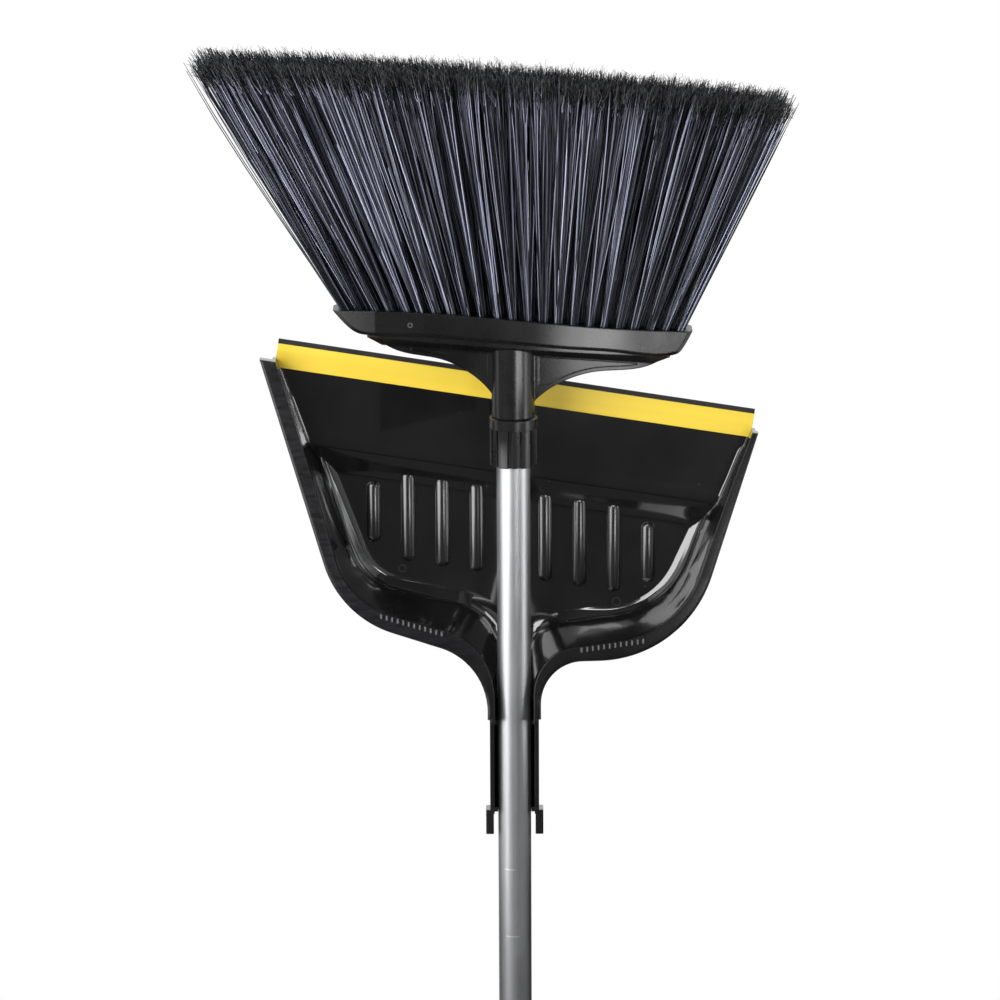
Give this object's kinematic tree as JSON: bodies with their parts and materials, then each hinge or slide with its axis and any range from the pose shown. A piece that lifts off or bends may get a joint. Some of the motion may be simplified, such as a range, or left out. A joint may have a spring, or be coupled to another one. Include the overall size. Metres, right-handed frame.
{
  "type": "angle broom",
  "caption": "Angle broom with a fanned, angle-cut brush head on a threaded collar, a slim metal handle with a hanging eye, and a dustpan that clips on the handle behind the head.",
  "frame": {"origin": "on the handle's axis, half way along the tube, where a wall holder grips it", "axes": "+Z along the handle towards the bristles, +X towards the short side of the angled head, -Y the front, away from the dustpan"},
  "size_m": [0.3804, 0.075, 1.4238],
  "materials": {
    "handle": "satin silver",
    "black_plastic": "satin",
    "head_plastic": "satin, fine grained",
    "wire": "plain drawn wire",
    "bristle": "flagged blue-black filament",
    "pan_plastic": "gloss inside, satin rim",
    "lip": "satin yellow",
    "soft_edge": "matt"
  },
  "bodies": {
    "handle": {"handle_tube": "handle", "tube_plug": "black_plastic", "hang_cap": "black_plastic"},
    "collar": {"lock_collar": "black_plastic"},
    "head": {"head_block": "head_plastic", "tuft_staples": "wire", "bristle_row_1": "bristle", "bristle_row_2": "bristle", "bristle_row_3": "bristle", "bristle_row_4": "bristle", "bristle_row_5": "bristle"},
    "dustpan": {"dustpan": "pan_plastic", "lip_strip": "lip", "lip_edge": "soft_edge"}
  },
  "joints": [
    {"name": "collar_turn", "type": "hinge", "parent": "handle", "child": "collar", "pos_m": [0, 0, 0.5763], "axis": [0, 0, -1], "range_deg": [0, 1350]},
    {"name": "head_lift", "type": "slide", "parent": "handle", "child": "head", "axis": [0, 0, 1], "range_m": [0, 0.01905]},
    {"name": "dustpan_unclip", "type": "slide", "parent": "handle", "child": "dustpan", "axis": [0, 1, 0], "range_m": [0, 0.12]}
  ],
  "couplings": [
    {"joint": "collar_turn", "follows": "head_lift", "rad_per_m": 1236.8}
  ]
}
